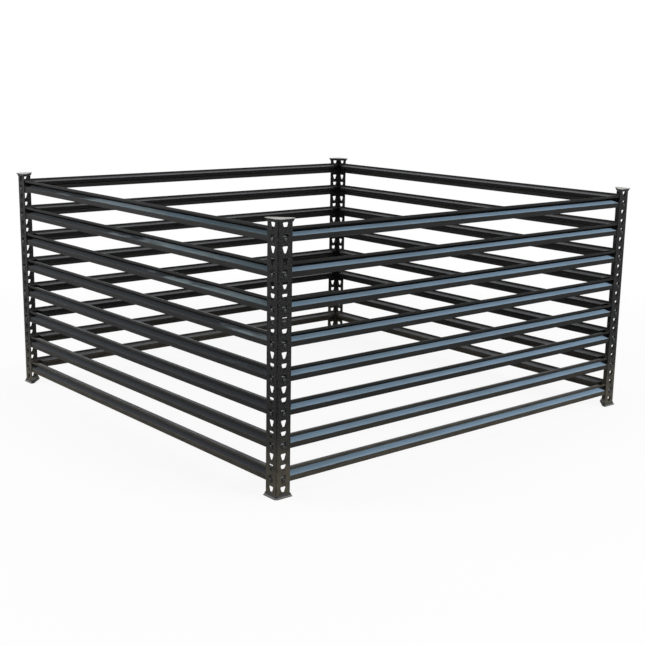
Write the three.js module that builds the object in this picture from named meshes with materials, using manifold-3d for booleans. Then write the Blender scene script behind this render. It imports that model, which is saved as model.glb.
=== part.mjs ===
// Steel compost bin: four slotted angle posts, eight riveted slats a side, and a flared cap and
// foot on each post. Millimetres, +Z up. The origin is on the ground under the middle of the bin,
// and the front of the bin faces -Y.

import * as THREE from 'three';
import { mergeVertices } from 'three/addons/utils/BufferGeometryUtils.js';
import Module from 'manifold-3d';

const wasm = await Module();
wasm.setup();

// Size of the bin over the posts
const binWidth = 1219.2;
const binDepth = 1219.2;
const postLength = 609.6;

// Rolled angle of a post
const flangeWidth = 38.1;
const postGauge = 1.5;
const postBendRadius = 3;

// Teardrop slots in both flanges of a post
const slotPitch = 25.4;
const firstSlotHeight = 14;
const lastSlotMargin = 11;
const slotFromCorner = 19;
const slotHeight = 15;
const slotTopWidth = 14;
const slotTopRound = 2.2;

// Rivets that hang a slat in the slots
const shankRadius = 3.4;
const shankClearance = 0.3;
const headRadius = 4.75;
const crownRadius = 3;
const headHeight = 1.7;

// Rolled section of a slat, seen from its end: flange, ledge, web, roof and lip
const slatGauge = 0.9;
const slatFlange = 12;
const ledgeRise = 7;
const webHeight = 5.5;
const roofRise = 2;
const slatLip = 6.5;
const grooveDepth = 25;

// Ends of a slat: how far they stop short of the corner, and the groove's depth where it is crimped
// to pass behind the post, with the run over which it deepens again
const slatEndGap = 11;
const crimpedDepth = 6.5;
const crimpRun = 6;

// Every third slot carries a slat, starting at the second from the ground
const slotsPerSlat = 3;
const firstSlatSlot = 1;

// Flared cap and foot, which are one moulding
const capHeight = 8;
const capFloor = 4.2;
const rimEdge = 1.6;
const rimOverhang = 5.2;
const rimReach = 3.2;
const rimTip = 10.5;
const socketWall = 1.2;
const flareSteps = 3;

// Gap between pieces that touch, and how far a cutter runs past what it cuts
const seatGap = 0.3;
const overrun = 1;

// Facets of the round stretches
const bendSteps = 3;
const seatSteps = 3;
const rivetSides = 8;

// Heights that follow from the sizes above
const postBase = capFloor + seatGap;
const binHeight = postBase + postLength + postBase;
const slotCount = 1 + Math.floor((postLength - firstSlotHeight - lastSlotMargin) / slotPitch);
const seatRadius = shankRadius + shankClearance;
const seatDrop = slotHeight / 2 - seatRadius;
const slatHeight = slatFlange + ledgeRise + webHeight + roofRise + slatLip;
const rivetHeight = slatFlange / 2;
const slatFace = postGauge + seatGap;

const postPaint = new THREE.MeshStandardMaterial({
  color: 0x29292b, roughness: 0.55, metalness: 0.35, flatShading: true,
});
const slatPaint = new THREE.MeshStandardMaterial({
  color: 0x2b2d30, roughness: 0.32, metalness: 0.4, flatShading: true,
});
const capPlastic = new THREE.MeshStandardMaterial({
  color: 0x232325, roughness: 0.6, metalness: 0.05, flatShading: true,
});

// A closed geometry as a solid that can be joined and cut
function toSolid(geometry) {
  const bare = geometry.clone();
  bare.deleteAttribute('normal');
  bare.deleteAttribute('uv');
  const merged = mergeVertices(bare);
  return new wasm.Manifold(new wasm.Mesh({
    numProp: 3,
    vertProperties: new Float32Array(merged.attributes.position.array),
    triVerts: new Uint32Array(merged.index.array),
  }));
}

// A solid as a geometry again
function toGeometry(solid) {
  const mesh = solid.getMesh();
  const geometry = new THREE.BufferGeometry();
  geometry.setAttribute('position', new THREE.BufferAttribute(mesh.vertProperties, 3));
  geometry.setIndex(new THREE.BufferAttribute(mesh.triVerts, 1));
  geometry.computeVertexNormals();
  return geometry;
}

function extrude(points, length) {
  return new THREE.ExtrudeGeometry(new THREE.Shape(points), { depth: length, bevelEnabled: false });
}

// Points of an arc about a centre, from one angle to another, with both ends
function arc(centreX, centreY, radius, from, to, steps) {
  const points = [];
  for (let i = 0; i <= steps; i += 1) {
    const angle = from + (to - from) * i / steps;
    points.push(new THREE.Vector2(
      centreX + radius * Math.cos(angle),
      centreY + radius * Math.sin(angle),
    ));
  }
  return points;
}

// Plan of the post's angle, corner at the origin and flanges along +X and +Y. The socket in a cap
// is the same plan grown by the gap between them.
function anglePlan(grow) {
  const outer = postBendRadius + grow;
  const inner = Math.max(postBendRadius - postGauge - grow, grow);
  const face = postGauge + grow;
  const end = flangeWidth + grow;
  const outerCentre = outer - grow;
  const innerCentre = face + inner;
  return [
    ...arc(outerCentre, outerCentre, outer, Math.PI, Math.PI * 1.5, bendSteps),
    new THREE.Vector2(end, -grow),
    new THREE.Vector2(end, face),
    ...arc(innerCentre, innerCentre, inner, Math.PI * 1.5, Math.PI, bendSteps),
    new THREE.Vector2(face, end),
    new THREE.Vector2(-grow, end),
  ];
}

// Teardrop slot about its middle: a wide top with round corners, and straight sides that run down
// to a round seat. The facets of the seat lie outside its circle, so that the shank clears them.
function teardrop() {
  const top = slotHeight / 2;
  const half = slotTopWidth / 2;
  const shoulder = top - slotTopRound;
  const reach = Math.hypot(half, shoulder + seatDrop);
  const tangent = Math.atan2(shoulder + seatDrop, half) - Math.acos(seatRadius / reach);
  const facetRadius = seatRadius / Math.cos((Math.PI + 2 * tangent) / seatSteps / 2);
  return [
    new THREE.Vector2(half - slotTopRound, top),
    new THREE.Vector2(slotTopRound - half, top),
    new THREE.Vector2(-half, shoulder),
    ...arc(0, -seatDrop, facetRadius, Math.PI - tangent, 2 * Math.PI + tangent, seatSteps),
    new THREE.Vector2(half, shoulder),
  ];
}

// One post, its lower end at the origin
function makePost() {
  let post = toSolid(extrude(anglePlan(0), postLength));
  const cutter = extrude(teardrop(), postGauge + 2 * overrun);
  cutter.rotateX(Math.PI / 2);
  cutter.translate(slotFromCorner, postGauge + overrun, 0);
  const sideCutter = cutter.clone();
  sideCutter.rotateZ(Math.PI / 2);
  sideCutter.translate(postGauge, 0, 0);
  for (let k = 0; k < slotCount; k += 1) {
    const height = firstSlotHeight + k * slotPitch;
    post = post.subtract(toSolid(cutter.clone().translate(0, 0, height)));
    post = post.subtract(toSolid(sideCutter.clone().translate(0, 0, height)));
  }
  return toGeometry(post);
}

// Outer line of a slat's section where its groove has a depth, from the flange up to the lip: x is
// the depth inwards, y the height
function grooveLine(depth) {
  const share = depth / grooveDepth;
  const roof = slatHeight - slatLip;
  return [
    new THREE.Vector2(0, slatFlange - slatGauge),
    new THREE.Vector2(0, slatFlange),
    new THREE.Vector2(depth, slatFlange + ledgeRise * share),
    new THREE.Vector2(depth, roof - roofRise * share),
    new THREE.Vector2(0, roof),
    new THREE.Vector2(0, roof + slatGauge),
  ];
}

// The same line moved inwards by the gauge of the sheet, with mitred bends
function offsetLine(line, distance) {
  const normals = line.slice(1).map((end, i) => {
    const run = end.clone().sub(line[i]).normalize();
    return new THREE.Vector2(run.y, -run.x);
  });
  return line.map((point, i) => {
    const before = normals[Math.max(i - 1, 0)];
    const after = normals[Math.min(i, normals.length - 1)];
    const mitre = before.clone().add(after);
    return point.clone().addScaledVector(mitre, distance / (1 + before.dot(after)));
  });
}

// Ring round the sheet of the groove at a place along the slat
function grooveRing(depth, along) {
  const line = grooveLine(depth);
  return [...offsetLine(line, slatGauge).slice(1, -1), ...line.slice(1, -1).reverse()]
    .map((point) => new THREE.Vector3(point.x, point.y, along));
}

// One of the two flat strips of a slat's face, between two heights
function faceStrip(low, high, length) {
  return extrude([
    new THREE.Vector2(0, low),
    new THREE.Vector2(slatGauge, low),
    new THREE.Vector2(slatGauge, high),
    new THREE.Vector2(0, high),
  ], length);
}

// Lays a geometry drawn in depth, height and length along +X, from a place on it
function layAlong(geometry, from) {
  geometry.rotateX(Math.PI / 2);
  geometry.rotateZ(Math.PI / 2);
  return geometry.translate(from, slatFace, 0);
}

// A rivet, its shank along -Y through the post's flange, and its head outside
function makeRivet() {
  const root = slatGauge / 2;
  const underHead = slatGauge + seatGap + postGauge + seatGap;
  const profile = [
    new THREE.Vector2(0, root),
    new THREE.Vector2(shankRadius, root),
    new THREE.Vector2(shankRadius, underHead),
    new THREE.Vector2(headRadius, underHead),
    new THREE.Vector2(crownRadius, underHead + headHeight),
    new THREE.Vector2(0, underHead + headHeight),
  ];
  const rivet = new THREE.LatheGeometry(profile, rivetSides);
  rivet.rotateY(Math.PI / rivetSides);
  rivet.rotateX(Math.PI);
  return rivet.translate(0, slatFace + slatGauge, rivetHeight);
}

// One slat for a side of the bin, with its rivets, from the post at the origin to the next one
function makeSlat(span) {
  const length = span - 2 * slatEndGap;
  const crimpEnd = flangeWidth + crimpRun;
  let slat = toSolid(layAlong(loft([
    grooveRing(crimpedDepth, slatEndGap),
    grooveRing(crimpedDepth, flangeWidth),
    grooveRing(grooveDepth, crimpEnd),
    grooveRing(grooveDepth, span - crimpEnd),
    grooveRing(crimpedDepth, span - flangeWidth),
    grooveRing(crimpedDepth, span - slatEndGap),
  ]), 0));
  slat = slat.add(toSolid(layAlong(faceStrip(0, slatFlange, length), slatEndGap)));
  slat = slat.add(toSolid(layAlong(faceStrip(slatHeight - slatLip, slatHeight, length), slatEndGap)));
  for (const place of [slotFromCorner, span - slotFromCorner]) {
    slat = slat.add(toSolid(makeRivet().translate(place, 0, 0)));
  }
  return toGeometry(slat);
}

// Plan of the cap at one height: the corner is round, and the two tips are cut square
function capPlan(overhang, reach, tip, height) {
  const end = flangeWidth + reach;
  const round = postBendRadius + overhang;
  const centre = round - overhang;
  return [
    ...arc(centre, centre, round, Math.PI, Math.PI * 1.5, bendSteps),
    new THREE.Vector2(end, -overhang),
    new THREE.Vector2(end, tip - overhang),
    new THREE.Vector2(tip - overhang, end),
    new THREE.Vector2(-overhang, end),
  ].map((point) => new THREE.Vector3(point.x, point.y, height));
}

// A closed skin over rings of points, one above the other
function loft(rings) {
  const count = rings[0].length;
  const last = (rings.length - 1) * count;
  const index = [];
  for (const [a, b, c] of THREE.ShapeUtils.triangulateShape([...rings[0]], [])) {
    index.push(a, c, b);
  }
  for (const [a, b, c] of THREE.ShapeUtils.triangulateShape([...rings.at(-1)], [])) {
    index.push(last + a, last + b, last + c);
  }
  for (let k = 0; k < last; k += count) {
    for (let i = 0; i < count; i += 1) {
      const next = (i + 1) % count;
      index.push(k + i, k + next, k + count + next);
      index.push(k + i, k + count + next, k + count + i);
    }
  }
  const geometry = new THREE.BufferGeometry().setFromPoints(rings.flat());
  return geometry.setIndex(index);
}

// The foot, its flat face on the ground; the same moulding turned over is the cap
function makeCap() {
  const skirt = seatGap + socketWall;
  const skirtTip = skirt + postGauge + seatGap + socketWall;
  const rings = [capPlan(rimOverhang, rimReach, rimTip, 0)];
  for (let i = 0; i <= flareSteps; i += 1) {
    const left = (1 - i / flareSteps) ** 2;
    rings.push(capPlan(
      skirt + (rimOverhang - skirt) * left,
      skirt + (rimReach - skirt) * left,
      skirtTip + (rimTip - skirtTip) * left,
      rimEdge + (capHeight - rimEdge) * i / flareSteps,
    ));
  }
  const socket = extrude(anglePlan(seatGap), capHeight - capFloor + overrun);
  return toGeometry(toSolid(loft(rings)).subtract(toSolid(socket.translate(0, 0, capFloor))));
}

function addMesh(parent, name, geometry, material, height) {
  const mesh = new THREE.Mesh(geometry, material);
  mesh.name = name;
  mesh.position.z = height;
  parent.add(mesh);
  return mesh;
}

// Corners in order round the bin, each with the side that runs on from it
const corners = [
  { corner: 'front_left', side: 'front', x: -binWidth / 2, y: -binDepth / 2, span: binWidth },
  { corner: 'front_right', side: 'right', x: binWidth / 2, y: -binDepth / 2, span: binDepth },
  { corner: 'back_right', side: 'back', x: binWidth / 2, y: binDepth / 2, span: binWidth },
  { corner: 'back_left', side: 'left', x: -binWidth / 2, y: binDepth / 2, span: binDepth },
];

const postGeometry = makePost();
const capGeometry = makeCap();
const cornerDiagonal = new THREE.Vector3(1, 1, 0).normalize();
const bin = new THREE.Group();

corners.forEach(({ corner, side, x, y, span }, turn) => {
  const group = new THREE.Group();
  group.position.set(x, y, 0);
  group.rotation.z = turn * Math.PI / 2;
  addMesh(group, `post_${corner}`, postGeometry, postPaint, postBase);
  addMesh(group, `foot_${corner}`, capGeometry, capPlastic, 0);
  const cap = addMesh(group, `cap_${corner}`, capGeometry, capPlastic, binHeight);
  cap.quaternion.setFromAxisAngle(cornerDiagonal, Math.PI);

  // The rivets rest in the seats of their slots
  const slatGeometry = makeSlat(span);
  let number = 1;
  for (let k = firstSlatSlot; k < slotCount; k += slotsPerSlat) {
    const seat = postBase + firstSlotHeight + k * slotPitch - seatDrop;
    const height = seat - rivetHeight;
    if (height + slatHeight > postBase + postLength) break;
    addMesh(group, `slat_${side}_${number}`, slatGeometry, slatPaint, height);
    number += 1;
  }
  bin.add(group);
});

export default bin;
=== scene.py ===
# Steel compost bin: posts, slats, rivets, caps and feet with their rolled bends, punched slots and
# paint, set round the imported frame. Metres; sections are written in millimetres and scaled by MM.

import math

import bmesh
import bpy
from mathutils import Matrix, Vector
from mathutils.geometry import tessellate_polygon


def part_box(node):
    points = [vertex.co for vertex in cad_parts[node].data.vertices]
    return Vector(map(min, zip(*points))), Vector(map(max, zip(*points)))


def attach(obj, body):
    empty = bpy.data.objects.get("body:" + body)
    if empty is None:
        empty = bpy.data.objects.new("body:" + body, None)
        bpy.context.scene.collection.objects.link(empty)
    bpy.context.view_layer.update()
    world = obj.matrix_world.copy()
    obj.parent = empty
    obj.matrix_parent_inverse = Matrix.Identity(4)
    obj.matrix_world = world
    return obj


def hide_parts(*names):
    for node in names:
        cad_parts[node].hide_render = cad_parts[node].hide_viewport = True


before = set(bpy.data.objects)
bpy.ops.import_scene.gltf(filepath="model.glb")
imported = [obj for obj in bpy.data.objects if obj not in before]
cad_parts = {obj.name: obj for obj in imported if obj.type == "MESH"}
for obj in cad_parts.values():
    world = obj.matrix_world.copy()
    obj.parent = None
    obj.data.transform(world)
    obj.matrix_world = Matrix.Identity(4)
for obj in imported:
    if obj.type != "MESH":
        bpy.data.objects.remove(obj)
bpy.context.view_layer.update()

MM = 0.001
QUARTER = math.pi / 2
EIGHTH = math.pi / 4
CORNERS = ("front_left", "front_right", "back_right", "back_left")
SIDES = ("front", "right", "back", "left")

# Photograph: its width in pixels, and a camera that stands where its own stood, with the sensor in
# millimetres, the focal length in pixels, the place in metres, and how it heads, dips and rolls
IMAGE_WIDTH = 645
SENSOR_WIDTH = 36
FOCAL_PIXELS = 1139.5
CAMERA_PLACE = Vector((-2.058, -2.468, 0.923))
CAMERA_HEADING = math.radians(49.76)
CAMERA_DIP = math.radians(12.52)
CAMERA_ROLL = math.radians(0.98)

# Rolled angle of a post
POST_GAUGE = 1.5
POST_BEND = 1.5
FLANGE_WIDTH = 38.1

# Teardrop slots
SLOT_PITCH = 25.4
FIRST_SLOT = 14.0
LAST_SLOT_MARGIN = 11.0
SLOT_FROM_CORNER = 19.0
SLOT_HEIGHT = 15.0
SLOT_TOP_WIDTH = 14.0
SLOT_TOP_ROUND = 2.2
SEAT_RADIUS = 3.7

# Clearance between pieces that fit each other
SEAT_GAP = 0.3

# Rivets
SHANK_RADIUS = 3.4
HEAD_RADIUS = 4.75
HEAD_HEIGHT = 1.7
HEAD_FLANK = 0.5
HEAD_TAPER = 0.125
TAIL_RADIUS = 4.1
TAIL_HEIGHT = 0.9
RIVET_HEIGHT = 6.0

# Rolled section of a slat
SLAT_GAUGE = 0.9
SLAT_BEND = 0.9
SLAT_FLANGE = 12.0
LEDGE_RISE = 7.0
WEB_HEIGHT = 5.5
ROOF_RISE = 2.0
SLAT_LIP = 6.5
GROOVE_DEPTH = 25.0

# Ends of a slat, where its groove is crimped shallow to pass behind the post
SLAT_END_GAP = 11.0
CRIMPED_DEPTH = 6.5
CRIMP_RUN = 6.0

# How far a slat's face lies behind the outer plane of the posts, and how far a rivet's head starts
# from the slat's inner face
SLAT_FACE = POST_GAUGE + SEAT_GAP
UNDER_HEAD = SLAT_GAUGE + SEAT_GAP + POST_GAUGE + SEAT_GAP

# Flared moulding of a cap or foot
CAP_HEIGHT = 8.0
CAP_FLOOR = 4.2
RIM_EDGE = 1.6
RIM_OVERHANG = 5.2
RIM_REACH = 3.2
RIM_TIP = 10.5
SOCKET_WALL = 1.2
RIM_ROUND = 0.45

# Smoothness of the round stretches, and the eased edge of cut steel
BEND_STEPS = 6
CRIMP_STEPS = 6
SHOULDER_STEPS = 4
SLOT_SIDE_STEPS = 3 * SHOULDER_STEPS
RIVET_STEPS = 32
DOME_STEPS = 7
FLARE_STEPS = 12
CAP_CORNER_STEPS = 12
CAP_EDGE_STEPS = 3
STEEL_EDGE = 0.22
SMOOTH_ANGLE = math.radians(50)

# Painted reflection of the sky on the ledges of the slats, set side by side as the light falls: how
# pale it is at the first and the last corner of each side, and how much its clouds vary that
SHEEN_ENDS = {"front": (0.52, 0.81), "right": (0.6, 0.6), "back": (0.6, 0.6), "left": (0.42, 0.02)}
SHEEN_CLOUDS = 0.12

# On the left side the painted reflection starts part of the way along, at a painted shadow edge
# that runs across the side: where it would start at the ground, how much nearer to the side's first
# corner for each millimetre up, and how far it takes to fade in and for its brighter painted start
# to fade out. On the other sides it starts well before the slat
SHEEN_LINE = 1965.0
SHEEN_FALL = 2.75
SHEEN_FADE = 130.0
BRIGHT_START_RUN = 420.0
WELL_BEFORE = -BRIGHT_START_RUN - SHEEN_FADE

# How strongly the brighter painted start lies where the painted reflection starts, and the grey
# painted light on the ledge of the crimped ends
BRIGHT_START_SHARE = 0.8
CRIMPED_LIGHT_SHARE = 0.8

# Painted highlight along the outer bend of a ledge: how far over the flange it is full, and gone
BEND_HIGHLIGHT_FULL = 0.4
BEND_HIGHLIGHT_GONE = 1.5

# How far up a face of a slat has to look to take the painted light of its ledge and roof at all,
# and in full
UP_FACING_LIGHT = (0.80, 0.93)

# Painted shade deep in a slat's groove, which darkens the web and the crease above the ledge near
# black: how deep behind the slat's face it starts and is full, and how far before the web it starts
# and is full on the ledge
GROOVE_SHADE_START = 1.5
GROOVE_SHADE_FULL = 5.0
CREASE_START = 7.0
CREASE_FULL = 4.0

# Soil and dust near the ground: how high soil is splashed on the slats, up to where the dust on the
# posts is full and where it is gone, and how thick it lies at most
SPLASH_HEIGHT = 150.0
POST_DUST_FULL = 10.0
POST_DUST_GONE = 190.0
POST_DUST = 0.9

# How far the wear of a piece is moved for each millimetre that it stands along X, Y and Z
WEAR_STEPS = Vector((1.0, 2.0, 3.0))

# Finish of each paint: its roughness where its noise is low and where it is high, its specular
# level, and the depth in millimetres and the strength of its relief
FINISHES = {
    "post_paint": ((0.45, 0.62), 0.07, 0.25, 0.9),
    "slat_enamel": ((0.38, 0.52), 0.08, 0.05, 0.5),
    "rivet_paint": ((0.28, 0.42), 0.3, 0.06, 0.6),
    "cap_plastic": ((0.40, 0.55), 0.15, 0.08, 0.6),
}

# What most values of a noise lie between
NOISE_REACH = (0.3, 0.7)

# Sockets of a mix of colours: its two colours, and its result
MIX_COLOURS = (6, 7)
MIX_RESULT = 2

# Light: how strongly the world lights the bin, and each lamp's power, place, aim and size
WORLD_LIGHT = 0.34
LAMPS = {
    "front_softbox": (170, Vector((1.7, -4.6, 1.95)), Vector((0.2, -0.6, 0.35)), 3.2, 0.9),
    "left_softbox": (56, Vector((-2.5, 1.7, 1.1)), Vector((-0.6, 0.2, 0.35)), 2.2, 1.2),
    "top_softbox": (50, Vector((0.4, -0.4, 4.2)), Vector((0.0, 0.0, 0.0)), 3.5, 3.5),
}

# Floor: its half width, the paper's level for the light it throws back and for the camera, and the
# share of plain white in it near the bin, which grows to all of it between two distances
FLOOR_HALF = 20.0
PAPER_BOUNCE = 0.6
PAPER_SEEN = 0.9
FLOOR_WHITE = 0.88
FLOOR_NEAR = 1.0
FLOOR_FAR = 2.4


# Camera, floor and light

def make_camera():
    data = bpy.data.cameras.new("photo_camera")
    data.sensor_width = SENSOR_WIDTH
    data.lens = FOCAL_PIXELS / IMAGE_WIDTH * SENSOR_WIDTH
    camera = bpy.data.objects.new("photo_camera", data)
    forward = Vector((
        math.cos(CAMERA_DIP) * math.cos(CAMERA_HEADING),
        math.cos(CAMERA_DIP) * math.sin(CAMERA_HEADING),
        -math.sin(CAMERA_DIP),
    ))
    level = forward.cross(Vector((0, 0, 1))).normalized()
    upright = level.cross(forward)
    right = math.cos(CAMERA_ROLL) * level + math.sin(CAMERA_ROLL) * upright
    up = -math.sin(CAMERA_ROLL) * level + math.cos(CAMERA_ROLL) * upright
    turn = Matrix((right, up, -forward)).transposed()
    camera.matrix_world = Matrix.Translation(CAMERA_PLACE) @ turn.to_4x4()
    bpy.context.scene.collection.objects.link(camera)
    bpy.context.scene.camera = camera


def make_world():
    """White for the camera and for reflections, and a plainer level for the light itself."""
    world = bpy.data.worlds.new("studio")
    bpy.context.scene.world = world
    world.use_nodes = True
    tree = world.node_tree
    tree.nodes.clear()
    path = tree.nodes.new("ShaderNodeLightPath").outputs
    mirrored = combine(tree, "MAXIMUM", path["Is Glossy Ray"], path["Is Transmission Ray"])
    seen = combine(tree, "MAXIMUM", path["Is Camera Ray"], mirrored)
    background = tree.nodes.new("ShaderNodeBackground")
    background.inputs["Color"].default_value = (1, 1, 1, 1)
    tree.links.new(remap(tree, seen, 0.0, 1.0, WORLD_LIGHT, 1.0), background.inputs["Strength"])
    output = tree.nodes.new("ShaderNodeOutputWorld")
    tree.links.new(background.outputs[0], output.inputs["Surface"])


def make_floor():
    """White paper that keeps the bin's shadow near it and runs out into the white behind."""
    mesh = bpy.data.meshes.new("studio_floor")
    half = FLOOR_HALF
    mesh.from_pydata([(-half, -half, 0), (half, -half, 0), (half, half, 0), (-half, half, 0)],
                     [], [(0, 1, 2, 3)])
    floor = bpy.data.objects.new("studio_floor", mesh)
    bpy.context.scene.collection.objects.link(floor)
    material = bpy.data.materials.new("studio_floor")
    material.use_nodes = True
    tree = material.node_tree
    tree.nodes.clear()
    seen = tree.nodes.new("ShaderNodeLightPath").outputs["Is Camera Ray"]
    paper = tree.nodes.new("ShaderNodeBsdfDiffuse")
    tree.links.new(remap(tree, seen, 0.0, 1.0, PAPER_BOUNCE, PAPER_SEEN), paper.inputs["Color"])
    white = tree.nodes.new("ShaderNodeEmission")
    white.inputs["Strength"].default_value = 1.0
    source = tree.nodes.new("ShaderNodeTexCoord")
    reach = tree.nodes.new("ShaderNodeVectorMath")
    reach.operation = "LENGTH"
    tree.links.new(source.outputs["Object"], reach.inputs[0])
    share = remap(tree, reach.outputs["Value"], FLOOR_NEAR, FLOOR_FAR, FLOOR_WHITE, 1.0)
    mix = tree.nodes.new("ShaderNodeMixShader")
    tree.links.new(combine(tree, "MULTIPLY", seen, share), mix.inputs["Fac"])
    tree.links.new(paper.outputs[0], mix.inputs[1])
    tree.links.new(white.outputs[0], mix.inputs[2])
    output = tree.nodes.new("ShaderNodeOutputMaterial")
    tree.links.new(mix.outputs[0], output.inputs["Surface"])
    mesh.materials.append(material)


def make_lamps():
    for name, (power, place, aim, width, height) in LAMPS.items():
        data = bpy.data.lights.new(name, "AREA")
        data.shape = "RECTANGLE"
        data.energy = power
        data.size = width
        data.size_y = height
        lamp = bpy.data.objects.new(name, data)
        lamp.location = place
        lamp.rotation_mode = "QUATERNION"
        lamp.rotation_quaternion = (aim - place).to_track_quat("-Z", "Y")
        bpy.context.scene.collection.objects.link(lamp)


# Sections and outlines, in millimetres

def arc(centre, radius, start, end, steps):
    """Points of an arc with both its ends."""
    return [
        centre + radius * Vector((math.cos(a), math.sin(a)))
        for a in (start + (end - start) * i / steps for i in range(steps + 1))
    ]


class FoldedLine:
    """The outer line of a folded sheet, its bends rounded, walked by distance from its start."""

    def __init__(self, corners, bend, gauge):
        self.points = [corners[0]]
        self.normals = [self.side(corners[0], corners[1])]
        for before, corner, after in zip(corners, corners[1:], corners[2:]):
            self.add_bend(before, corner, after, bend, gauge)
        self.points.append(corners[-1])
        self.normals.append(self.side(corners[-2], corners[-1]))
        self.runs = [0.0]
        for a, b in zip(self.points, self.points[1:]):
            self.runs.append(self.runs[-1] + (b - a).length)

    @staticmethod
    def side(start, end):
        """Which way the thickness of the sheet lies."""
        run = (end - start).normalized()
        return Vector((run.y, -run.x))

    def add_bend(self, before, corner, after, bend, gauge):
        first, second = self.side(before, corner), self.side(corner, after)
        turn = math.atan2(first.x * second.y - first.y * second.x, first.dot(second))
        sign = 1 if turn < 0 else -1
        radius = bend + (gauge if turn < 0 else 0)
        start = corner - (corner - before).normalized() * radius * math.tan(abs(turn) / 2)
        centre = start + first * radius * sign
        for i in range(BEND_STEPS + 1):
            normal = Matrix.Rotation(turn * i / BEND_STEPS, 2) @ first
            self.points.append(centre - normal * radius * sign)
            self.normals.append(normal)

    def at(self, run):
        """Point and inward normal at a distance along the line."""
        i = 0
        while i < len(self.runs) - 2 and run > self.runs[i + 1]:
            i += 1
        share = (run - self.runs[i]) / (self.runs[i + 1] - self.runs[i])
        point = self.points[i].lerp(self.points[i + 1], share)
        return point, self.normals[i].lerp(self.normals[i + 1], share).normalized()


class Sheet:
    """A pressed sheet laid out flat as polygons, then raised as two skins joined by eased walls."""

    def __init__(self):
        self.polygons = []

    @staticmethod
    def key(point):
        """A flat point that is the same for all polygons that meet there."""
        return (round(point[0], 4), round(point[1], 4))

    def add(self, *points):
        self.polygons.append([self.key(p) for p in points])

    def grid(self, firsts, seconds):
        for a, b in zip(firsts, firsts[1:]):
            for c, d in zip(seconds, seconds[1:]):
                self.add((a, c), (b, c), (b, d), (a, d))

    def mesh(self, name, place, gauge):
        """place turns a flat point and a depth into a point of the folded sheet."""
        bm = bmesh.new()
        skins = []
        for depth in (0.0, gauge):
            skins.append({
                key: bm.verts.new(place(*key, depth) * MM)
                for key in {k for polygon in self.polygons for k in polygon}
            })
        outer, inner = skins
        edges = set()
        for polygon in self.polygons:
            bm.faces.new([outer[k] for k in polygon])
            bm.faces.new([inner[k] for k in reversed(polygon)])
            edges.update(zip(polygon, polygon[1:] + polygon[:1]))
        rims = []
        for a, b in sorted(edges):
            if (b, a) not in edges:
                bm.faces.new((outer[b], outer[a], inner[a], inner[b]))
                rims.append(bm.edges.get((outer[a], outer[b])))
                rims.append(bm.edges.get((inner[a], inner[b])))
        bmesh.ops.recalc_face_normals(bm, faces=bm.faces[:])
        bmesh.ops.bevel(bm, geom=rims, offset=STEEL_EDGE * MM, segments=2, profile=0.5,
                        affect="EDGES", clamp_overlap=True)
        return finished_mesh(bm, name)


def finished_mesh(bm, name):
    """A mesh that is shaded smooth but for its sharp edges."""
    mesh = bpy.data.meshes.new(name)
    bm.to_mesh(mesh)
    bm.free()
    mesh.polygons.foreach_set("use_smooth", [True] * len(mesh.polygons))
    mesh.set_sharp_from_angle(angle=SMOOTH_ANGLE)
    return mesh


# Posts

def teardrop_sides():
    """Outline of a slot about its middle, clockwise from its left shoulder, as four sides."""
    top = SLOT_HEIGHT / 2
    drop = top - SEAT_RADIUS
    shoulder = Vector((SLOT_TOP_WIDTH / 2 - SLOT_TOP_ROUND, top - SLOT_TOP_ROUND))
    seat = Vector((0, -drop))
    line = shoulder - seat
    lean = math.atan2(line.y, line.x)
    tangent = lean - math.acos((SEAT_RADIUS - SLOT_TOP_ROUND) / line.length)
    side_top = arc(shoulder, SLOT_TOP_ROUND, EIGHTH, tangent, SHOULDER_STEPS)
    side_low = arc(seat, SEAT_RADIUS, tangent, -EIGHTH, SLOT_SIDE_STEPS - SHOULDER_STEPS - 1)
    right = side_top + side_low
    bottom = arc(seat, SEAT_RADIUS, -EIGHTH, EIGHTH - math.pi, SLOT_SIDE_STEPS)
    left = mirrored_outline(right)
    top_right = arc(shoulder, SLOT_TOP_ROUND, QUARTER, EIGHTH, SHOULDER_STEPS)
    top_left = mirrored_outline(top_right)
    flat = [top_left[-1].lerp(top_right[0], i / SHOULDER_STEPS) for i in range(1, SHOULDER_STEPS)]
    return [top_left + flat + top_right, right, bottom, left]


def mirrored_outline(points):
    return [Vector((-p.x, p.y)) for p in reversed(points)]


def rim_side(start, end):
    """Points of one side of the steel round a slot, as many as the slot's own side has."""
    return [start.lerp(end, i / SLOT_SIDE_STEPS) for i in range(SLOT_SIDE_STEPS + 1)]


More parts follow.
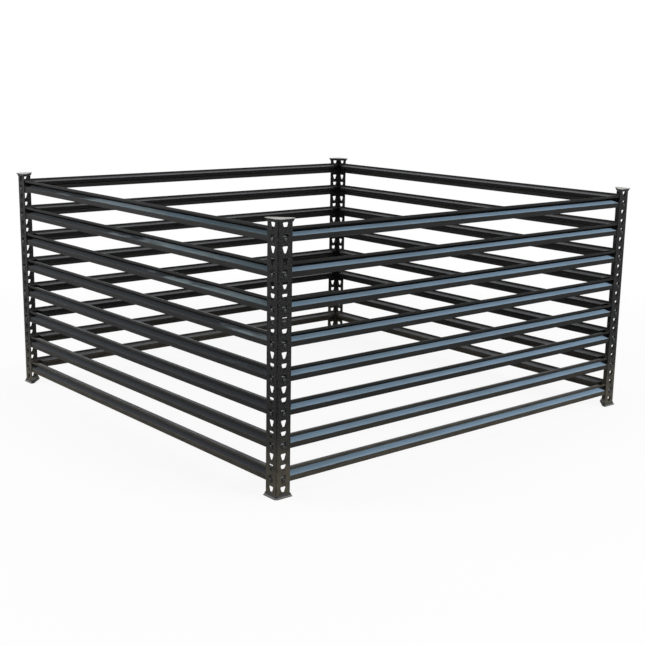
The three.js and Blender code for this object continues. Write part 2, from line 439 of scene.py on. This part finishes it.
def post_mesh(length):
    """The rolled angle of a post: a slot in each stretch of both flanges, and the bend between."""
    corners = [Vector((FLANGE_WIDTH, 0)), Vector((0, 0)), Vector((0, FLANGE_WIDTH))]
    line = FoldedLine(corners, POST_BEND, POST_GAUGE)
    count = 1 + int((length - FIRST_SLOT - LAST_SLOT_MARGIN) / SLOT_PITCH)
    cuts = [0.0]
    cuts += [FIRST_SLOT + (k + 0.5) * SLOT_PITCH for k in range(count - 1)]
    cuts.append(length)
    slot = teardrop_sides()
    bend_start, bend_end = line.runs[1], line.runs[-2]
    flats = [
        (0.0, bend_start, FLANGE_WIDTH - SLOT_FROM_CORNER),
        (bend_end, line.runs[-1], line.runs[-1] - FLANGE_WIDTH + SLOT_FROM_CORNER),
    ]
    sheet = Sheet()
    rows = [0.0]
    for k, (low, high) in enumerate(zip(cuts, cuts[1:])):
        for near, far, middle in flats:
            centre = Vector((middle, FIRST_SLOT + k * SLOT_PITCH))
            ring = [Vector(p) for p in ((near, high), (far, high), (far, low), (near, low))]
            for start, end, side in zip(ring, ring[1:] + ring[:1], slot):
                rim = rim_side(start, end)
                for a, b, c, d in zip(rim, rim[1:], side, side[1:]):
                    sheet.add(a, centre + c, centre + d, b)
        rows += [low + (high - low) * i / SLOT_SIDE_STEPS for i in range(1, SLOT_SIDE_STEPS + 1)]
    sheet.grid(line.runs[1:-1], rows)

    def place(run, height, depth):
        point, normal = line.at(run)
        flat = point + normal * depth
        return Vector((flat.x, flat.y, height))

    return sheet.mesh("post", place, POST_GAUGE)


# Slats and their rivets

def slat_line(depth):
    """Outer line of a slat's section where its groove has a depth, from the lower edge up."""
    share = depth / GROOVE_DEPTH
    roof = SLAT_FLANGE + LEDGE_RISE + WEB_HEIGHT + ROOF_RISE
    return FoldedLine([
        Vector((0, 0)),
        Vector((0, SLAT_FLANGE)),
        Vector((depth, SLAT_FLANGE + LEDGE_RISE * share)),
        Vector((depth, roof - ROOF_RISE * share)),
        Vector((0, roof)),
        Vector((0, roof + SLAT_LIP)),
    ], SLAT_BEND, SLAT_GAUGE)


def slat_mesh(span):
    """The rolled sheet of a slat from one corner of the bin to the next, crimped at both ends."""
    crimped, full = slat_line(CRIMPED_DEPTH), slat_line(GROOVE_DEPTH)
    near_end = [SLAT_END_GAP]
    near_end += [FLANGE_WIDTH + CRIMP_RUN * i / CRIMP_STEPS for i in range(CRIMP_STEPS + 1)]
    sheet = Sheet()
    sheet.grid(range(len(full.points)), near_end + [span - along for along in reversed(near_end)])

    def place(station, along, depth):
        """A point of the section's line, between where the crimped and the full groove have it."""
        i = round(station)
        from_end = min(along, span - along)
        share = min(max((from_end - FLANGE_WIDTH) / CRIMP_RUN, 0.0), 1.0)
        eased = share * share * (3 - 2 * share)
        section = crimped.points[i].lerp(full.points[i], eased) + full.normals[i] * depth
        return Vector((along, SLAT_FACE + section.x, section.y))

    return sheet.mesh("slat", place, SLAT_GAUGE)


def turned_mesh(name, profile, steps):
    """A solid of revolution about Z from pairs of radius and height, which start and end on it."""
    bm = bmesh.new()
    rings = []
    for radius, height in profile:
        if radius == 0:
            rings.append([bm.verts.new((0, 0, height * MM))])
            continue
        rings.append([
            bm.verts.new((radius * math.cos(a) * MM, radius * math.sin(a) * MM, height * MM))
            for a in (2 * math.pi * i / steps for i in range(steps))
        ])
    for low, high in zip(rings, rings[1:]):
        for i in range(steps):
            j = (i + 1) % steps
            corners = [low[i % len(low)], low[j % len(low)],
                       high[j % len(high)], high[i % len(high)]]
            bm.faces.new(list(dict.fromkeys(corners)))
    bmesh.ops.recalc_face_normals(bm, faces=bm.faces[:])
    return finished_mesh(bm, name)


def rivet_mesh():
    """Tail inside, shank through the slat and the post, and a domed head outside, from the slat's
    inner face outwards along +Z."""
    profile = [(0, -TAIL_HEIGHT)]
    profile += [
        (TAIL_RADIUS * math.sin(a), -TAIL_HEIGHT * math.cos(a))
        for a in (QUARTER * i / DOME_STEPS for i in range(1, DOME_STEPS + 1))
    ]
    profile += [(SHANK_RADIUS, 0), (SHANK_RADIUS, UNDER_HEAD)]
    profile.append((HEAD_RADIUS - HEAD_TAPER, UNDER_HEAD))
    dome = HEAD_HEIGHT - HEAD_FLANK
    profile += [
        (HEAD_RADIUS * math.cos(a), UNDER_HEAD + HEAD_FLANK + dome * math.sin(a))
        for a in (QUARTER * i / DOME_STEPS for i in range(DOME_STEPS))
    ]
    profile.append((0, UNDER_HEAD + HEAD_HEIGHT))
    return turned_mesh("rivet", profile, RIVET_STEPS)


# Caps and feet

def angle_plan(grow):
    """Plan of the post's angle, grown by a gap all round."""
    corners = [Vector((FLANGE_WIDTH + grow, -grow)), Vector((-grow, -grow)),
               Vector((-grow, FLANGE_WIDTH + grow))]
    line = FoldedLine(corners, POST_BEND, POST_GAUGE + 2 * grow)
    outer = line.points
    inner = [p + n * (POST_GAUGE + 2 * grow) for p, n in zip(line.points, line.normals)]
    return outer + inner[::-1]


def cap_plan(overhang, reach, tip):
    """Plan of the moulding at one height: a round corner, and two tips cut square."""
    end = FLANGE_WIDTH + reach
    radius = POST_BEND + POST_GAUGE + overhang
    centre = Vector((radius - overhang, radius - overhang))
    sharp = [Vector((end, -overhang)), Vector((end, tip - overhang)),
             Vector((tip - overhang, end)), Vector((-overhang, end))]
    points = arc(centre, radius, math.pi, math.pi + QUARTER, CAP_CORNER_STEPS)
    ring = [points[-1]] + sharp + [points[0]]
    for before, corner, after in zip(ring, ring[1:], ring[2:]):
        back = (before - corner).normalized()
        on = (after - corner).normalized()
        reach_back = RIM_ROUND / math.tan(back.angle(on) / 2)
        start, stop = corner + back * reach_back, corner + on * reach_back
        points += [
            start.lerp(corner, s).lerp(corner.lerp(stop, s), s)
            for s in (i / BEND_STEPS for i in range(BEND_STEPS + 1))
        ]
    return points


def cap_levels():
    """From the flat face up: height, how much of the flare is left there, and how far the plan
    draws in for the eased edge."""
    levels = [
        (RIM_ROUND * (1 - math.cos(a)), 1.0, RIM_ROUND * (1 - math.sin(a)))
        for a in (QUARTER * i / CAP_EDGE_STEPS for i in range(CAP_EDGE_STEPS + 1))
    ]
    for i in range(FLARE_STEPS + 1):
        share = i / FLARE_STEPS
        levels.append((RIM_EDGE + (CAP_HEIGHT - RIM_EDGE) * share, (1 - share) ** 2, 0.0))
    return levels


def cap_mesh():
    """The flared moulding with its flat face down, and the socket for the post in its upper end."""
    skirt = SEAT_GAP + SOCKET_WALL
    skirt_tip = skirt + POST_GAUGE + SEAT_GAP + SOCKET_WALL
    bm = bmesh.new()
    rings = []
    for height, left, inset in cap_levels():
        plan = cap_plan(
            skirt + (RIM_OVERHANG - skirt) * left - inset,
            skirt + (RIM_REACH - skirt) * left - inset,
            skirt_tip + (RIM_TIP - skirt_tip) * left - 2 * inset,
        )
        rings.append([bm.verts.new((p.x * MM, p.y * MM, height * MM)) for p in plan])
    for low, high in zip(rings, rings[1:]):
        for i in range(len(low)):
            j = (i + 1) % len(low)
            bm.faces.new((low[i], low[j], high[j], high[i]))
    bm.faces.new(rings[0])
    socket = angle_plan(SEAT_GAP)
    mouth = [bm.verts.new((p.x * MM, p.y * MM, CAP_HEIGHT * MM)) for p in socket]
    base = [bm.verts.new((p.x * MM, p.y * MM, CAP_FLOOR * MM)) for p in socket]
    for i in range(len(socket)):
        j = (i + 1) % len(socket)
        bm.faces.new((mouth[i], mouth[j], base[j], base[i]))
    bm.faces.new(base)
    rim = rings[-1] + mouth
    for triangle in tessellate_polygon([[v.co for v in rings[-1]], [v.co for v in mouth]]):
        bm.faces.new([rim[i] for i in triangle])
    bmesh.ops.recalc_face_normals(bm, faces=bm.faces[:])
    return finished_mesh(bm, "moulding")


# Materials

def coordinates(tree):
    """The object's own coordinates, in millimetres."""
    source = tree.nodes.new("ShaderNodeTexCoord")
    scale = tree.nodes.new("ShaderNodeVectorMath")
    scale.operation = "SCALE"
    scale.inputs["Scale"].default_value = 1 / MM
    tree.links.new(source.outputs["Object"], scale.inputs[0])
    return scale.outputs[0]


def drawn_out(tree, vector, share):
    """Coordinates of which X counts for a share only, so that a noise is drawn out along X."""
    node = tree.nodes.new("ShaderNodeVectorMath")
    node.operation = "MULTIPLY"
    node.inputs[1].default_value = (share, 1.0, 1.0)
    tree.links.new(vector, node.inputs[0])
    return node.outputs[0]


def noise(tree, vector, size, detail=3.0):
    """Noise whose cells are about size millimetres across."""
    node = tree.nodes.new("ShaderNodeTexNoise")
    node.inputs["Scale"].default_value = 1 / size
    node.inputs["Detail"].default_value = detail
    tree.links.new(vector, node.inputs["Vector"])
    return node.outputs["Fac"]


def remap(tree, value, low, high, out_low=0.0, out_high=1.0):
    """Eases a value that runs from low to high over from out_low to out_high."""
    node = tree.nodes.new("ShaderNodeMapRange")
    node.interpolation_type = "SMOOTHSTEP"
    node.inputs["From Min"].default_value = low
    node.inputs["From Max"].default_value = high
    node.inputs["To Min"].default_value = out_low
    node.inputs["To Max"].default_value = out_high
    tree.links.new(value, node.inputs["Value"])
    return node.outputs["Result"]


def combine(tree, operation, a, b):
    """Arithmetic on two values, each a socket or a number."""
    node = tree.nodes.new("ShaderNodeMath")
    node.operation = operation
    for value, socket in ((a, node.inputs[0]), (b, node.inputs[1])):
        if isinstance(value, bpy.types.NodeSocket):
            tree.links.new(value, socket)
        else:
            socket.default_value = value
    return node.outputs[0]


def blend_colours(tree, share, a, b):
    """A colour between a and b, each a socket or three numbers."""
    node = tree.nodes.new("ShaderNodeMix")
    node.data_type = "RGBA"
    tree.links.new(share, node.inputs["Factor"])
    for value, index in zip((a, b), MIX_COLOURS):
        if isinstance(value, bpy.types.NodeSocket):
            tree.links.new(value, node.inputs[index])
        else:
            node.inputs[index].default_value = (*value, 1)
    return node.outputs[MIX_RESULT]


def patchy(tree, cover, pattern, least, thin=0.3, thick=0.6):
    """The cover of a layer, down to its least share where a noise falls from thick to thin."""
    return combine(tree, "MULTIPLY", cover, remap(tree, pattern, thin, thick, least, 1.0))


def bump(tree, height, distance, strength):
    """Bump from a height that runs from 0 to 1 over a distance in millimetres."""
    node = tree.nodes.new("ShaderNodeBump")
    node.inputs["Distance"].default_value = distance * MM
    node.inputs["Strength"].default_value = strength
    tree.links.new(height, node.inputs["Height"])
    return node.outputs["Normal"]


def carried(tree, name):
    """A number that each piece carries under a name."""
    node = tree.nodes.new("ShaderNodeAttribute")
    node.attribute_type = "OBJECT"
    node.attribute_name = name
    return node.outputs["Fac"]


def wear_coordinates(tree, place):
    """Coordinates moved up by a number that each piece carries, so that like pieces wear unlike."""
    up = tree.nodes.new("ShaderNodeCombineXYZ")
    tree.links.new(carried(tree, "wear_at"), up.inputs["Z"])
    moved = tree.nodes.new("ShaderNodeVectorMath")
    moved.operation = "ADD"
    tree.links.new(place, moved.inputs[0])
    tree.links.new(up.outputs[0], moved.inputs[1])
    return moved.outputs[0]


def axes_of(tree, vector):
    """The outputs X, Y and Z of a vector."""
    node = tree.nodes.new("ShaderNodeSeparateXYZ")
    tree.links.new(vector, node.inputs[0])
    return node.outputs


def new_material(name):
    material = bpy.data.materials.new(name)
    material.use_nodes = True
    return material, material.node_tree


def finish(tree, name, colour, gloss_noise, relief_noise):
    """Gives a paint's shader its colour, and from two noises its gloss and its relief."""
    roughness, specular, depth, strength = FINISHES[name]
    sockets = tree.nodes["Principled BSDF"].inputs
    tree.links.new(colour, sockets["Base Color"])
    tree.links.new(remap(tree, gloss_noise, *NOISE_REACH, *roughness), sockets["Roughness"])
    sockets["Specular IOR Level"].default_value = specular
    tree.links.new(bump(tree, relief_noise, depth, strength), sockets["Normal"])


def post_paint():
    """Black powder coat with a fine hammered grain, dusty towards the ground."""
    black = (0.0036, 0.0039, 0.0039)
    worn = (0.0370, 0.0380, 0.0370)
    soil = (0.080, 0.073, 0.055)
    worn_grain = (0.42, 0.64)

    material, tree = new_material("post_paint")
    place = coordinates(tree)
    wear = wear_coordinates(tree, place)
    grain = noise(tree, wear, size=2.6)
    patches = noise(tree, wear, size=26.0, detail=4.0)
    colour = blend_colours(tree, remap(tree, grain, *worn_grain), black, worn)
    height = axes_of(tree, place)["Z"]
    low_down = remap(tree, height, POST_DUST_FULL, POST_DUST_GONE, POST_DUST, 0.0)
    colour = blend_colours(tree, patchy(tree, low_down, patches, least=0.3), colour, soil)
    finish(tree, "post_paint", colour, patches, grain)
    return material


def slat_enamel(span):
    """Charcoal enamel with the marks of years outdoors, and painted light and shade. Up-facing
    faces take a steel-blue painted reflection of the sky on the ledge. On the left side it starts
    at a ragged painted shadow edge with a brighter painted start, and it has a painted highlight
    along the outer bend. The ledge of the crimped ends takes a dull grey painted light, and the
    roof of the groove dust with painted light. Painted shade makes the groove near black deep
    inside, and soil is splashed up from the ground. Each slat carries how pale its painted
    reflection is at both ends, where it starts, and its share of soil."""
    charcoal = (0.0105, 0.0106, 0.0106)
    rubbed = (0.0190, 0.0186, 0.0178)
    # Ledge colours: a dim painted blue-grey where the painted sky reflection has not started, then
    # the painted reflection itself
    dim_ledge_sheen = (0.078, 0.084, 0.094)
    sky_sheen = (0.185, 0.256, 0.300)
    pale_sky_sheen = (0.335, 0.490, 0.660)
    # Painted highlight colour for the ledge's outer bend
    bend_highlight = (0.360, 0.490, 0.600)
    # Brighter painted start of the painted reflection
    bright_sheen_start = (0.385, 0.470, 0.500)
    # Grey painted light for the ledge of the crimped ends
    crimped_end_light = (0.300, 0.320, 0.330)
    # Pale grey for the roof of the groove: dust with painted light
    roof_dust_and_light = (0.110, 0.114, 0.122)
    # Near-black painted shade for the deep groove
    groove_shade = (0.0024, 0.0024, 0.0026)
    soil = (0.062, 0.055, 0.043)
    rubbed_streaks = (0.35, 0.7)
    dark_flecks = (0.35, 0.7, 0.0, 0.5)
    cloud_reach = (0.38, 0.66)

    material, tree = new_material("slat_enamel")
    place = coordinates(tree)
    wear = wear_coordinates(tree, place)
    streaks = noise(tree, drawn_out(tree, wear, share=0.02), size=1.6)
    clouds = noise(tree, drawn_out(tree, wear, share=0.25), size=30.0, detail=4.0)
    fine = noise(tree, drawn_out(tree, wear, share=0.12), size=4.0)
    peel = noise(tree, wear, size=2.4, detail=1.0)
    axes = axes_of(tree, place)
    along, depth, height = axes["X"], axes["Y"], axes["Z"]
    upward = axes_of(tree, tree.nodes.new("ShaderNodeTexCoord").outputs["Normal"])["Z"]

    colour = blend_colours(tree, remap(tree, streaks, *rubbed_streaks), charcoal, rubbed)
    # Painted shade: faces deep in the groove, such as the web, are darkened near black where shade
    # falls
    deep_groove_shade = remap(tree, depth, SLAT_FACE + GROOVE_SHADE_START, SLAT_FACE + GROOVE_SHADE_FULL)
    colour = blend_colours(tree, deep_groove_shade, colour, groove_shade)
    splashed = patchy(tree, carried(tree, "splash"), fine, least=0.4)
    colour = blend_colours(tree, splashed, colour, soil)

    # Painted reflection of the sky on the ledge, standing in for light: paler towards one end of a
    # slat and different from side to side as the light falls, clouded by a noise
    first, last = carried(tree, "sheen_first"), carried(tree, "sheen_last")
    paler = combine(tree, "MULTIPLY", combine(tree, "SUBTRACT", last, first),
                    combine(tree, "DIVIDE", along, span))
    paleness = combine(tree, "ADD", combine(tree, "ADD", first, paler),
                       remap(tree, clouds, *cloud_reach, -SHEEN_CLOUDS, SHEEN_CLOUDS))
    lit = blend_colours(tree, paleness, sky_sheen, pale_sky_sheen)
    # Painted highlight along the ledge's outer bend, as pale as the painted reflection there
    bend_highlight_mask = remap(tree, height, SLAT_FLANGE + BEND_HIGHLIGHT_FULL, SLAT_FLANGE + BEND_HIGHLIGHT_GONE, 1.0, 0.0)
    line = combine(tree, "MULTIPLY", patchy(tree, bend_highlight_mask, fine, least=0.3), paleness)
    lit = blend_colours(tree, line, lit, bend_highlight)

    # Painted shadow edge on the left side's ledges: before it the ledge takes the dim painted
    # blue-grey, after it the painted reflection, which starts with a brighter painted glow
    past_start = combine(tree, "SUBTRACT", along, carried(tree, "sheen_from"))
    ragged = remap(tree, clouds, *cloud_reach, -SHEEN_FADE, SHEEN_FADE)
    past_start = combine(tree, "ADD", past_start, ragged)
    bright_start = remap(tree, past_start, SHEEN_FADE, BRIGHT_START_RUN, BRIGHT_START_SHARE, 0.0)
    lit = blend_colours(tree, bright_start, lit, bright_sheen_start)
    lit = blend_colours(tree, remap(tree, past_start, -SHEEN_FADE, SHEEN_FADE), dim_ledge_sheen, lit)

    # Grey painted light on the ledge of the crimped ends behind the posts
    from_end = combine(tree, "MINIMUM", along, combine(tree, "SUBTRACT", span, along))
    crimped = remap(tree, from_end, FLANGE_WIDTH, FLANGE_WIDTH + CRIMP_RUN, CRIMPED_LIGHT_SHARE, 0.0)
    lit = blend_colours(tree, crimped, lit, crimped_end_light)
    # Painted shade on the inner part of the ledge, in the crease below the web
    web = SLAT_FACE + GROOVE_DEPTH
    crease_shade = remap(tree, depth, web - CREASE_START, web - CREASE_FULL)
    lit = blend_colours(tree, crease_shade, lit, groove_shade)
    # Pale grey on the up-facing roof of the groove: dust with painted light, flecked with charcoal
    ledge_top = SLAT_FLANGE + LEDGE_RISE
    on_roof = remap(tree, height, ledge_top + WEB_HEIGHT / 2, ledge_top + WEB_HEIGHT)
    dust_and_light = blend_colours(tree, remap(tree, fine, *dark_flecks), roof_dust_and_light, charcoal)
    lit = blend_colours(tree, on_roof, lit, dust_and_light)

    # Up-facing faces take the painted light and shade above, and the others keep the enamel
    colour = blend_colours(tree, remap(tree, upward, *UP_FACING_LIGHT), colour, lit)
    finish(tree, "slat_enamel", colour, clouds, peel)
    return material


def rivet_paint():
    """The slat's enamel on a formed head, lighter on its crown: rubbed paint with a painted
    highlight.
    """
    charcoal = (0.0110, 0.0112, 0.0112)
    # Crown colour: rubbed paint and a painted highlight
    rubbed = (0.030, 0.031, 0.031)
    rubbed_specks = (0.35, 0.65)

    material, tree = new_material("rivet_paint")
    place = coordinates(tree)
    specks = noise(tree, wear_coordinates(tree, place), size=0.9)
    height = axes_of(tree, place)["Z"]
    # Painted highlight with rubbed paint on the crown of the head
    crown = remap(tree, height, UNDER_HEAD + HEAD_FLANK, UNDER_HEAD + HEAD_HEIGHT)
    rub_and_highlight = combine(tree, "MULTIPLY", crown, remap(tree, specks, *rubbed_specks))
    finish(tree, "rivet_paint", blend_colours(tree, rub_and_highlight, charcoal, rubbed), specks, specks)
    return material


def cap_plastic():
    """Black moulded plastic with a spark-eroded grain, its flat face and the edge round it chalked
    pale by the weather, and dust with a painted highlight on faces that look up, such as the flare
    of a foot."""
    black = (0.0120, 0.0140, 0.0155)
    dusty = (0.0250, 0.0285, 0.0305)
    chalk = (0.430, 0.425, 0.405)
    # Pale dust with a painted highlight for up-facing faces
    dust_and_light = (0.210, 0.208, 0.192)
    dusty_patches = (0.35, 0.7)
    holds_dust_and_light = (0.50, 0.72)

    material, tree = new_material("cap_plastic")
    place = coordinates(tree)
    wear = wear_coordinates(tree, place)
    grain = noise(tree, wear, size=0.8, detail=2.0)
    patches = noise(tree, wear, size=9.0)
    colour = blend_colours(tree, remap(tree, patches, *dusty_patches), black, dusty)
    # Dust with a painted highlight on up-facing faces, such as the flare of a foot
    upward = axes_of(tree, tree.nodes.new("ShaderNodeNewGeometry").outputs["Normal"])["Z"]
    settled_and_lit = patchy(tree, remap(tree, upward, *holds_dust_and_light), grain, least=0.5)
    colour = blend_colours(tree, settled_and_lit, colour, dust_and_light)
    flat_face = remap(tree, axes_of(tree, place)["Z"], RIM_ROUND, RIM_EDGE, 1.0, 0.0)
    chalked = patchy(tree, flat_face, grain, least=0.45, thin=0.25, thick=0.55)
    colour = blend_colours(tree, chalked, colour, chalk)
    finish(tree, "cap_plastic", colour, grain, grain)
    return material


# Putting the bin together

def add_piece(name, mesh, matrix, body, node=None):
    """Stands a mesh in its place, on its body, for the node that it replaces, if any."""
    piece = bpy.data.objects.new(name, mesh)
    bpy.context.scene.collection.objects.link(piece)
    piece.matrix_world = matrix
    piece["wear_at"] = matrix.translation.dot(WEAR_STEPS) / MM
    shading = piece.modifiers.new("shading", "WEIGHTED_NORMAL")
    shading.keep_sharp = True
    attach(piece, body)
    if node:
        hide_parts(node)
    return piece


def corner_matrices():
    """Each corner of the bin over its posts, turned so that its own side runs along +X."""
    low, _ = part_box("post_front_left")
    _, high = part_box("post_back_right")
    places = [(low.x, low.y), (high.x, low.y), (high.x, high.y), (low.x, high.y)]
    return [
        Matrix.Translation((x, y, 0)) @ Matrix.Rotation(QUARTER * turn, 4, "Z")
        for turn, (x, y) in enumerate(places)
    ]


def sheen_and_soil(rail, side, height):
    """Gives a slat the numbers that its enamel reads: its painted reflection of the sky and the
    soil splashed on it.
    """
    rail["sheen_first"], rail["sheen_last"] = SHEEN_ENDS[side]
    # On the left side the painted reflection starts at a painted shadow edge that runs across the
    # side
    rail["sheen_from"] = SHEEN_LINE - SHEEN_FALL * height if side == "left" else WELL_BEFORE
    rail["splash"] = max(0.0, 1 - height / SPLASH_HEIGHT)


def build_bin():
    low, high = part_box("post_front_left")
    post = post_mesh((high.z - low.z) / MM)
    post.materials.append(post_paint())
    moulding = cap_mesh()
    moulding.materials.append(cap_plastic())
    rivet = rivet_mesh()
    rivet.materials.append(rivet_paint())
    places = corner_matrices()
    spans = [(b.translation - a.translation).length / MM
             for a, b in zip(places, places[1:] + places[:1])]
    enamel = slat_enamel(spans[0])
    turned_over = Matrix.Rotation(math.pi, 4, Vector((1, 1, 0)))
    facing_out = Matrix.Rotation(QUARTER, 4, "X")
    inner_face = SLAT_FACE + SLAT_GAUGE
    stand = Matrix.Translation((0, 0, low.z))
    for corner, side, place, span in zip(CORNERS, SIDES, places, spans):
        add_piece(f"angle_{corner}", post, place @ stand, "frame",
                  f"post_{corner}")
        add_piece(f"flared_foot_{corner}", moulding, place, "frame",
                  f"foot_{corner}")
        top = Matrix.Translation((0, 0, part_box(f"cap_{corner}")[1].z))
        add_piece(f"flared_cap_{corner}", moulding, place @ top @ turned_over, "frame",
                  f"cap_{corner}")
        slat = slat_mesh(span)
        slat.materials.append(enamel)
        nodes = sorted((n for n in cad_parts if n.startswith(f"slat_{side}_")),
                       key=lambda n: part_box(n)[0].z)
        for node in nodes:
            number = node.rsplit("_", 1)[1]
            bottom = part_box(node)[0].z
            seat = place @ Matrix.Translation((0, 0, bottom))
            rail = add_piece(f"rail_{side}_{number}", slat, seat, node, node)
            sheen_and_soil(rail, side, bottom / MM)
            for end, along in (("near", SLOT_FROM_CORNER), ("far", span - SLOT_FROM_CORNER)):
                spot = Matrix.Translation(Vector((along, inner_face, RIVET_HEIGHT)) * MM)
                add_piece(f"rivet_{side}_{number}_{end}", rivet, seat @ spot @ facing_out, node)


bpy.context.scene.view_settings.view_transform = "Standard"
make_camera()
make_world()
make_floor()
make_lamps()
build_bin()
